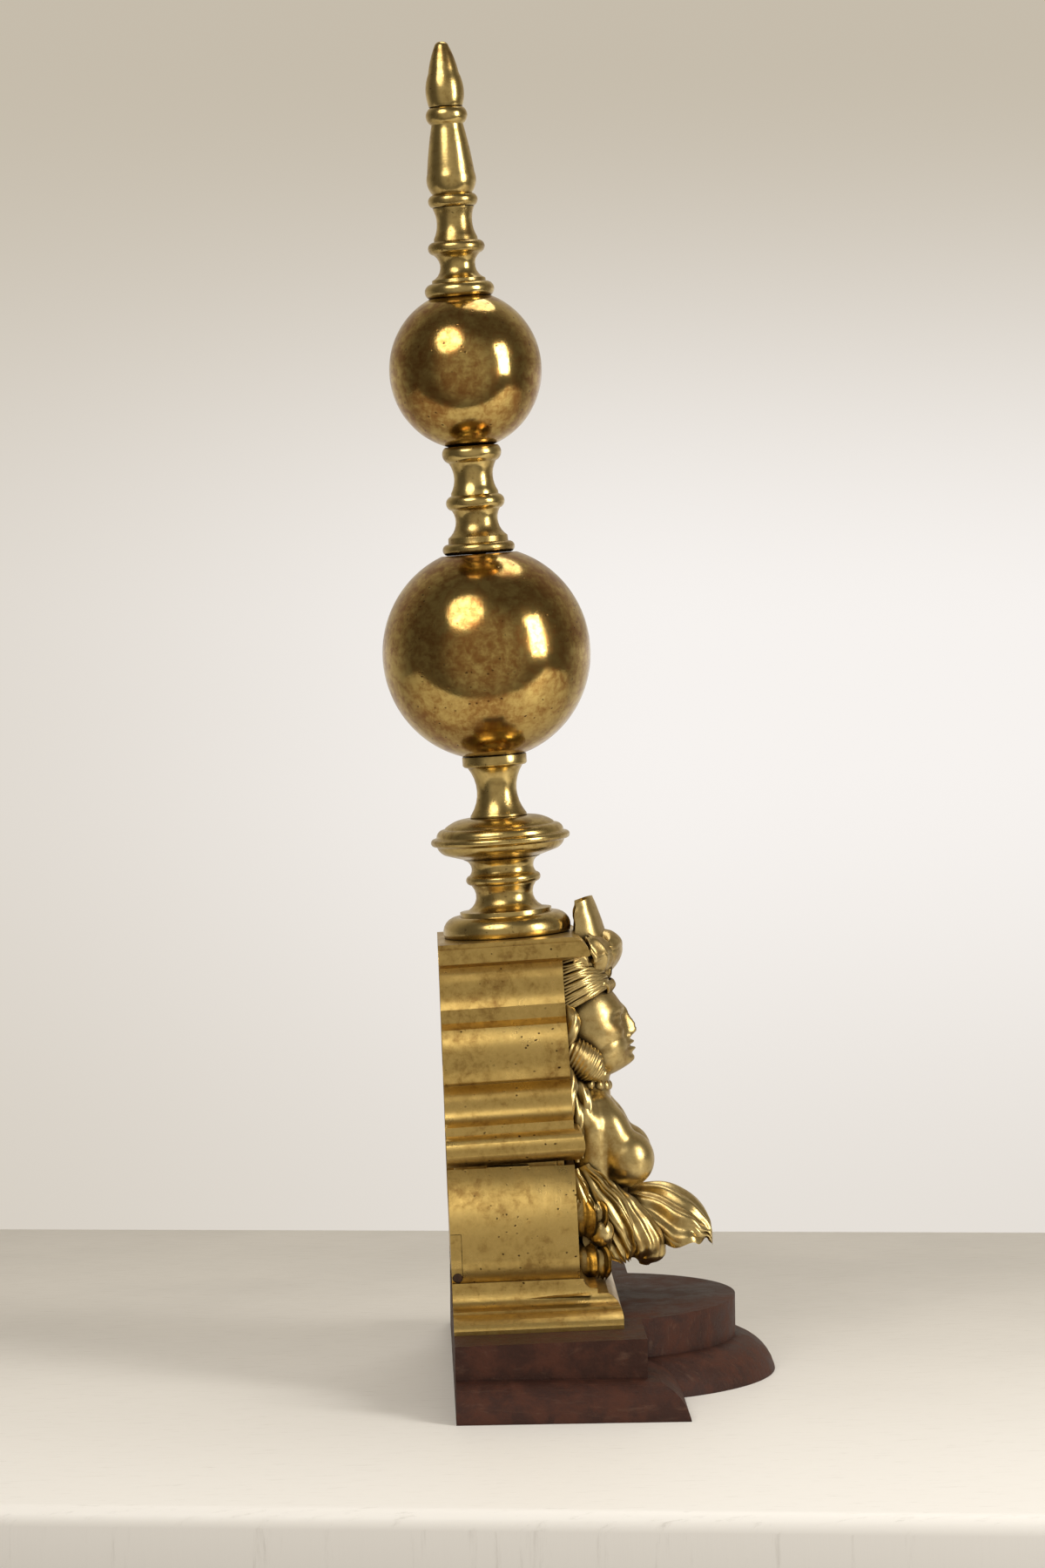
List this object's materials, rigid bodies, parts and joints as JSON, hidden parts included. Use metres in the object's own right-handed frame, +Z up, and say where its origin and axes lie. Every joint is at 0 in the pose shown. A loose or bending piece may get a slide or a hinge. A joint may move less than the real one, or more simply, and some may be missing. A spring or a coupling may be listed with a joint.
{
  "type": "figural andiron",
  "caption": "Tall brass andiron front: turned column of balls and spools on a moulded plinth with a classical bust and acanthus leaves, on a flared cast-iron base.",
  "frame": {"origin": "on the floor, at the middle of the whole footprint", "axes": "+Z up, -Y towards the front that faces the room, X across the andiron"},
  "size_m": [0.356, 0.2204, 0.7618],
  "materials": {
    "cast_iron": "rusty red-brown cast iron, rough, with darker and redder patches",
    "cast_brass": "aged cast brass, rubbed bright on the edges, dark in the hollows, pitted",
    "turned_brass": "aged turned brass, polished by wear, tarnish in the grooves",
    "worn_brass": "polished hollow brass balls clouded with red-brown tarnish and small dents",
    "dark_steel": "dark oxidised iron fasteners"
  },
  "bodies": {
    "root": {"iron_base": "cast_iron", "lower_plinth": "cast_brass", "upper_plinth": "cast_brass", "back_bar": "cast_brass", "lock_pin_right": "dark_steel", "lock_pin_left": "dark_steel", "base_bolt_right": "dark_steel", "base_bolt_left": "dark_steel", "base_nut_right": "dark_steel", "base_nut_left": "dark_steel", "joint_bolt_right": "dark_steel", "joint_bolt_left": "dark_steel", "joint_nut_right": "dark_steel", "joint_nut_left": "dark_steel", "column_foot": "turned_brass", "saucer": "turned_brass", "ball_neck": "turned_brass", "big_ball_lower": "worn_brass", "big_ball_upper": "worn_brass", "middle_spool": "turned_brass", "small_ball_lower": "worn_brass", "small_ball_upper": "worn_brass", "upper_spool": "turned_brass", "finial_stem": "turned_brass", "finial_tip": "turned_brass", "tie_rod": "dark_steel", "rod_washer": "dark_steel", "rod_nut": "dark_steel", "figure_bust": "cast_brass", "leaf_skirt": "cast_brass", "figure_screw_1": "dark_steel", "figure_screw_2": "dark_steel", "figure_screw_3": "dark_steel"}
  },
  "joints": []
}
